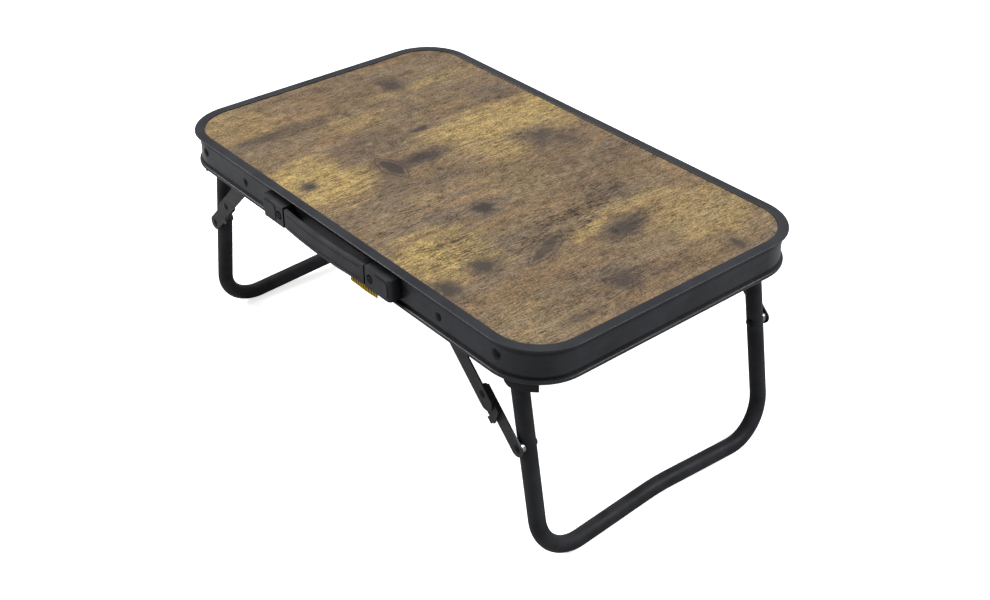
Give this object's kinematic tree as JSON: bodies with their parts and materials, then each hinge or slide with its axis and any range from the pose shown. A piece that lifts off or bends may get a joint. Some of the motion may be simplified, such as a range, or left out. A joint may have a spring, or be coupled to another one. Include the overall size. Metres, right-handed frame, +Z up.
{
  "type": "folding side table",
  "caption": "Low folding side table: printed wood-look board in a rounded metal frame, U-shaped tube legs with folding braces, and a moulded carrying handle on one long side.",
  "frame": {"origin": "on the floor, under the middle of the whole open table with its handle", "axes": "+X along the long side, +Y along the short side away from the handle, +Z up"},
  "size_m": [0.56, 0.3504, 0.236],
  "materials": {
    "frame_paint": "satin black paint on a bent aluminium extrusion",
    "wood_laminate": "printed weathered-plank laminate, satin",
    "core_board": "raw fibreboard",
    "bracket_plastic": "moulded black nylon",
    "rivet_paint": "satin black",
    "link_paint": "satin black",
    "washer_zinc": "zinc plated",
    "leg_paint": "matt black powder coat",
    "handle_plastic": "moulded black plastic, fine grain",
    "screw_paint": "black oxide",
    "tag_fabric": "woven yellow tape"
  },
  "bodies": {
    "table": {"frame_ring": "frame_paint", "top_laminate": "wood_laminate", "core_board": "core_board", "near_left_bracket": "bracket_plastic", "near_left_leg_pivot_pin": "rivet_paint", "near_left_frame_rivet": "rivet_paint", "near_right_bracket": "bracket_plastic", "near_right_leg_pivot_pin": "rivet_paint", "near_right_frame_rivet": "rivet_paint", "far_left_bracket": "bracket_plastic", "far_left_leg_pivot_pin": "rivet_paint", "far_left_frame_rivet": "rivet_paint", "far_right_bracket": "bracket_plastic", "far_right_leg_pivot_pin": "rivet_paint", "far_right_frame_rivet": "rivet_paint", "pivot_spacers": "rivet_paint", "frame_washers": "washer_zinc", "near_handle_housing": "handle_plastic", "far_handle_housing": "handle_plastic", "handle_screws": "screw_paint"},
    "near_leg": {"near_leg_tube": "leg_paint", "near_leg_washers": "washer_zinc", "near_left_leg_rivet": "rivet_paint", "near_right_leg_rivet": "rivet_paint"},
    "far_leg": {"far_leg_tube": "leg_paint", "far_leg_washers": "washer_zinc", "far_left_leg_rivet": "rivet_paint", "far_right_leg_rivet": "rivet_paint"},
    "near_left_upper_brace": {"near_left_upper_link": "link_paint", "near_left_middle_rivet_head": "rivet_paint"},
    "near_left_lower_brace": {"near_left_lower_link": "link_paint", "near_left_middle_rivet_tail": "rivet_paint"},
    "near_right_upper_brace": {"near_right_upper_link": "link_paint", "near_right_middle_rivet_head": "rivet_paint"},
    "near_right_lower_brace": {"near_right_lower_link": "link_paint", "near_right_middle_rivet_tail": "rivet_paint"},
    "far_left_upper_brace": {"far_left_upper_link": "link_paint", "far_left_middle_rivet_head": "rivet_paint"},
    "far_left_lower_brace": {"far_left_lower_link": "link_paint", "far_left_middle_rivet_tail": "rivet_paint"},
    "far_right_upper_brace": {"far_right_upper_link": "link_paint", "far_right_middle_rivet_head": "rivet_paint"},
    "far_right_lower_brace": {"far_right_lower_link": "link_paint", "far_right_middle_rivet_tail": "rivet_paint"},
    "handle_strap": {"handle_strap": "handle_plastic", "fabric_tag": "tag_fabric"}
  },
  "joints": [
    {"name": "near_leg_fold", "type": "hinge", "parent": "table", "child": "near_leg", "pos_m": [0.22917, 0.00525, 0.2195], "axis": [0, 1, 0], "range_deg": [0, 100]},
    {"name": "far_leg_fold", "type": "hinge", "parent": "table", "child": "far_leg", "pos_m": [-0.22917, 0.00525, 0.2195], "axis": [0, -1, 0], "range_deg": [0, 100]},
    {"name": "near_left_upper_brace_swing", "type": "hinge", "parent": "table", "child": "near_left_upper_brace", "pos_m": [0.154, -0.1561, 0.2165], "axis": [0, 1, 0], "range_deg": [0, 134.88]},
    {"name": "near_left_lower_brace_swing", "type": "hinge", "parent": "near_leg", "child": "near_left_lower_brace", "pos_m": [0.24656, -0.1524, 0.126], "axis": [0, 1, 0], "range_deg": [-147.64, 0]},
    {"name": "near_right_upper_brace_swing", "type": "hinge", "parent": "table", "child": "near_right_upper_brace", "pos_m": [0.154, 0.1666, 0.2165], "axis": [0, 1, 0], "range_deg": [0, 134.88]},
    {"name": "near_right_lower_brace_swing", "type": "hinge", "parent": "near_leg", "child": "near_right_lower_brace", "pos_m": [0.24656, 0.1629, 0.126], "axis": [0, 1, 0], "range_deg": [-147.64, 0]},
    {"name": "far_left_upper_brace_swing", "type": "hinge", "parent": "table", "child": "far_left_upper_brace", "pos_m": [-0.154, -0.1561, 0.2165], "axis": [0, -1, 0], "range_deg": [0, 134.88]},
    {"name": "far_left_lower_brace_swing", "type": "hinge", "parent": "far_leg", "child": "far_left_lower_brace", "pos_m": [-0.24656, -0.1524, 0.126], "axis": [0, -1, 0], "range_deg": [-147.64, 0]},
    {"name": "far_right_upper_brace_swing", "type": "hinge", "parent": "table", "child": "far_right_upper_brace", "pos_m": [-0.154, 0.1666, 0.2165], "axis": [0, -1, 0], "range_deg": [0, 134.88]},
    {"name": "far_right_lower_brace_swing", "type": "hinge", "parent": "far_leg", "child": "far_right_lower_brace", "pos_m": [-0.24656, 0.1629, 0.126], "axis": [0, -1, 0], "range_deg": [-147.64, 0]},
    {"name": "handle_strap_slide", "type": "slide", "parent": "table", "child": "handle_strap", "axis": [1, 0, 0], "range_m": [-0.002, 0.002]}
  ],
  "couplings": [
    {"joint": "near_left_upper_brace_swing", "follows": "near_leg_fold", "ratio": 1.3487},
    {"joint": "near_left_lower_brace_swing", "follows": "near_leg_fold", "ratio": -1.4762},
    {"joint": "near_right_upper_brace_swing", "follows": "near_leg_fold", "ratio": 1.3487},
    {"joint": "near_right_lower_brace_swing", "follows": "near_leg_fold", "ratio": -1.4762},
    {"joint": "far_left_upper_brace_swing", "follows": "far_leg_fold", "ratio": 1.3487},
    {"joint": "far_left_lower_brace_swing", "follows": "far_leg_fold", "ratio": -1.4762},
    {"joint": "far_right_upper_brace_swing", "follows": "far_leg_fold", "ratio": 1.3487},
    {"joint": "far_right_lower_brace_swing", "follows": "far_leg_fold", "ratio": -1.4762}
  ]
}
